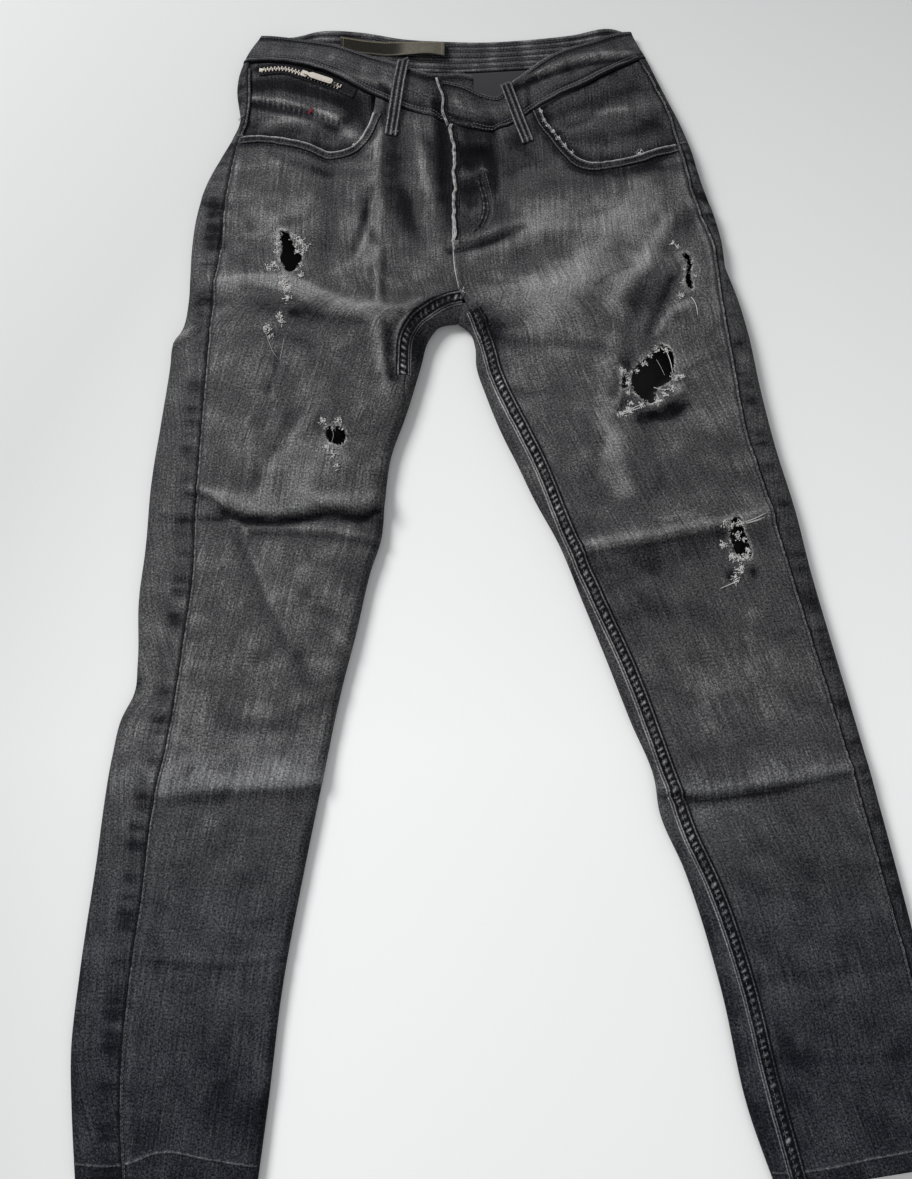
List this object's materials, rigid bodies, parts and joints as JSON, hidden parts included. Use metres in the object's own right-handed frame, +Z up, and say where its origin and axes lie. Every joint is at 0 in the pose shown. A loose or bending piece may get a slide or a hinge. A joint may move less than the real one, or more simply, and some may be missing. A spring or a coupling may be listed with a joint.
{
  "type": "ripped jeans",
  "caption": "Slim ripped jeans laid flat, front up, with open waist and hems, worn-through holes, a zipped small pocket and a swinging zip pull.",
  "frame": {"origin": "on the surface the jeans lie on, under the middle of their bounding box", "axes": "+Z up from the surface, +Y from the hems towards the waist, +X towards the wearer's left"},
  "size_m": [0.753, 1.1255, 0.0374],
  "materials": {
    "denim_front": "matt",
    "denim": "matt",
    "label": "matt",
    "zip_tape": "matt",
    "metal": "satin"
  },
  "bodies": {
    "garment": {"front_right_panel": "denim_front", "front_left_panel": "denim_front", "back_right_panel": "denim", "back_left_panel": "denim", "back_yoke_right": "denim", "back_yoke_left": "denim", "back_pocket_right": "denim", "back_pocket_left": "denim", "pocket_facing_right": "denim", "pocket_facing_left": "denim", "fly_shield": "denim", "waistband": "denim", "belt_loop_front_right": "denim", "belt_loop_front_left": "denim", "belt_loop_back_right": "denim", "belt_loop_back_middle": "denim", "belt_loop_back_left": "denim", "waist_label": "label", "zip_tape": "zip_tape", "zip_slider": "metal"},
    "zip_pull": {"zip_pull_tab": "metal"}
  },
  "joints": [
    {"name": "zip_pull_hinge", "type": "hinge", "parent": "garment", "child": "zip_pull", "pos_m": [-0.20571, 0.48987, 0.02809], "axis": [-0.4167, -0.9091, 0.0014], "range_deg": [0, 175]}
  ]
}
